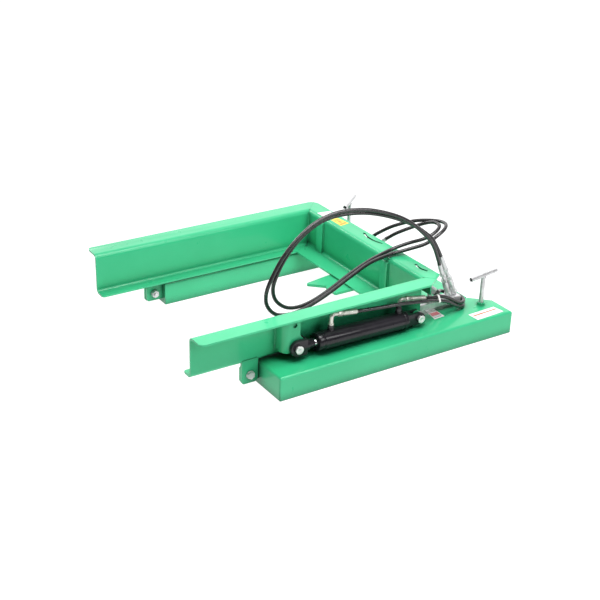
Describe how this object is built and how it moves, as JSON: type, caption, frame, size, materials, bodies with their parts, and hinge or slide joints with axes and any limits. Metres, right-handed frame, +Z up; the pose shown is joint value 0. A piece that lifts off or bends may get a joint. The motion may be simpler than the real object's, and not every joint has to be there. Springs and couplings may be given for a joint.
{
  "type": "conduit bender",
  "caption": "Hydraulic tilt base of a conduit bender: a U-shaped frame of bent steel plate hinged on a low boxed base and raised by a cylinder at each side.",
  "frame": {"origin": "on the floor, under the middle of the rigid parts' footprint", "axes": "+X from the frame's open front to the rear, +Y from the side with the couplers to the other side, +Z up"},
  "size_m": [1.4451, 1.153, 0.6119],
  "materials": {
    "green_paint": "gloss enamel over bent plate, lightly scuffed",
    "black_enamel": "gloss black enamel",
    "zinc_plate": "bright zinc plate",
    "chrome_rod": "hard chrome",
    "bare_steel": "machined steel",
    "hose_rubber": "satin black hose cover"
  },
  "bodies": {
    "base": {"rear_crossmember": "green_paint", "rest_plate": "green_paint", "left_base_box": "green_paint", "left_pivot_ear": "green_paint", "left_pivot_bolt": "zinc_plate", "left_pivot_nut": "zinc_plate", "left_cylinder_lug": "green_paint", "left_lock_collar": "green_paint", "left_base_pin": "zinc_plate", "right_base_box": "green_paint", "right_pivot_ear": "green_paint", "right_pivot_bolt": "zinc_plate", "right_pivot_nut": "zinc_plate", "right_cylinder_lug": "green_paint", "right_lock_collar": "green_paint", "right_base_pin": "zinc_plate"},
    "tilt_frame": {"rear_beam": "green_paint", "left_hanger_plate": "green_paint", "left_manifold": "zinc_plate", "right_manifold": "zinc_plate", "quick_coupler_a": "zinc_plate", "quick_coupler_b": "zinc_plate", "hose_a": "hose_rubber", "hose_b": "hose_rubber", "left_arm": "green_paint", "left_pivot_lug": "green_paint", "left_lever_bracket": "green_paint", "left_front_tail": "hose_rubber", "left_rear_tail": "hose_rubber", "right_arm": "green_paint", "right_pivot_lug": "green_paint", "right_lever_bracket": "green_paint", "right_front_tail": "hose_rubber", "right_rear_tail": "hose_rubber"},
    "left_cylinder": {"left_barrel": "black_enamel", "left_base_clevis": "black_enamel", "left_gland": "black_enamel", "left_front_port": "zinc_plate", "left_rear_port": "zinc_plate", "left_front_hose": "hose_rubber", "left_rear_hose": "hose_rubber"},
    "left_ram": {"left_rod": "chrome_rod", "left_piston": "bare_steel", "left_rod_clevis": "black_enamel", "left_rod_pin": "zinc_plate"},
    "left_lock": {"left_lock_pin": "zinc_plate"},
    "right_cylinder": {"right_barrel": "black_enamel", "right_base_clevis": "black_enamel", "right_gland": "black_enamel", "right_front_port": "zinc_plate", "right_rear_port": "zinc_plate", "right_front_hose": "hose_rubber", "right_rear_hose": "hose_rubber"},
    "right_ram": {"right_rod": "chrome_rod", "right_piston": "bare_steel", "right_rod_clevis": "black_enamel", "right_rod_pin": "zinc_plate"},
    "right_lock": {"right_lock_pin": "zinc_plate"},
    "sleeve_a": {"coupler_sleeve_a": "zinc_plate"},
    "sleeve_b": {"coupler_sleeve_b": "zinc_plate"}
  },
  "joints": [
    {"name": "frame_tilt", "type": "hinge", "parent": "base", "child": "tilt_frame", "pos_m": [-0.467, 0, 0.056], "axis": [0, -1, 0], "range_deg": [0, 20]},
    {"name": "left_cylinder_swing", "type": "hinge", "parent": "base", "child": "left_cylinder", "pos_m": [0.288, -0.476, 0.141], "axis": [0, 1, 0], "range_deg": [0, 4.6]},
    {"name": "left_ram_stroke", "type": "slide", "parent": "left_cylinder", "child": "left_ram", "axis": [-0.9997, 0, 0.0239], "range_m": [0, 0.0475]},
    {"name": "left_lock_lift", "type": "slide", "parent": "base", "child": "left_lock", "axis": [0, 0, 1], "range_m": [0, 0.06]},
    {"name": "right_cylinder_swing", "type": "hinge", "parent": "base", "child": "right_cylinder", "pos_m": [0.288, 0.476, 0.141], "axis": [0, 1, 0], "range_deg": [0, 4.6]},
    {"name": "right_ram_stroke", "type": "slide", "parent": "right_cylinder", "child": "right_ram", "axis": [-0.9997, 0, 0.0239], "range_m": [0, 0.0475]},
    {"name": "right_lock_lift", "type": "slide", "parent": "base", "child": "right_lock", "axis": [0, 0, 1], "range_m": [0, 0.06]},
    {"name": "sleeve_a_slide", "type": "slide", "parent": "tilt_frame", "child": "sleeve_a", "axis": [-0.38, 0, 0.925], "range_m": [0, 0.006], "stiffness_N_per_m": 400},
    {"name": "sleeve_b_slide", "type": "slide", "parent": "tilt_frame", "child": "sleeve_b", "axis": [-0.4188, 0.0349, 0.9074], "range_m": [0, 0.006], "stiffness_N_per_m": 400}
  ],
  "couplings": [
    {"joint": "left_cylinder_swing", "follows": "frame_tilt", "ratio": 0.2295},
    {"joint": "left_ram_stroke", "follows": "frame_tilt", "m_per_rad": 0.1358},
    {"joint": "right_cylinder_swing", "follows": "frame_tilt", "ratio": 0.2295},
    {"joint": "right_ram_stroke", "follows": "frame_tilt", "m_per_rad": 0.1358}
  ]
}
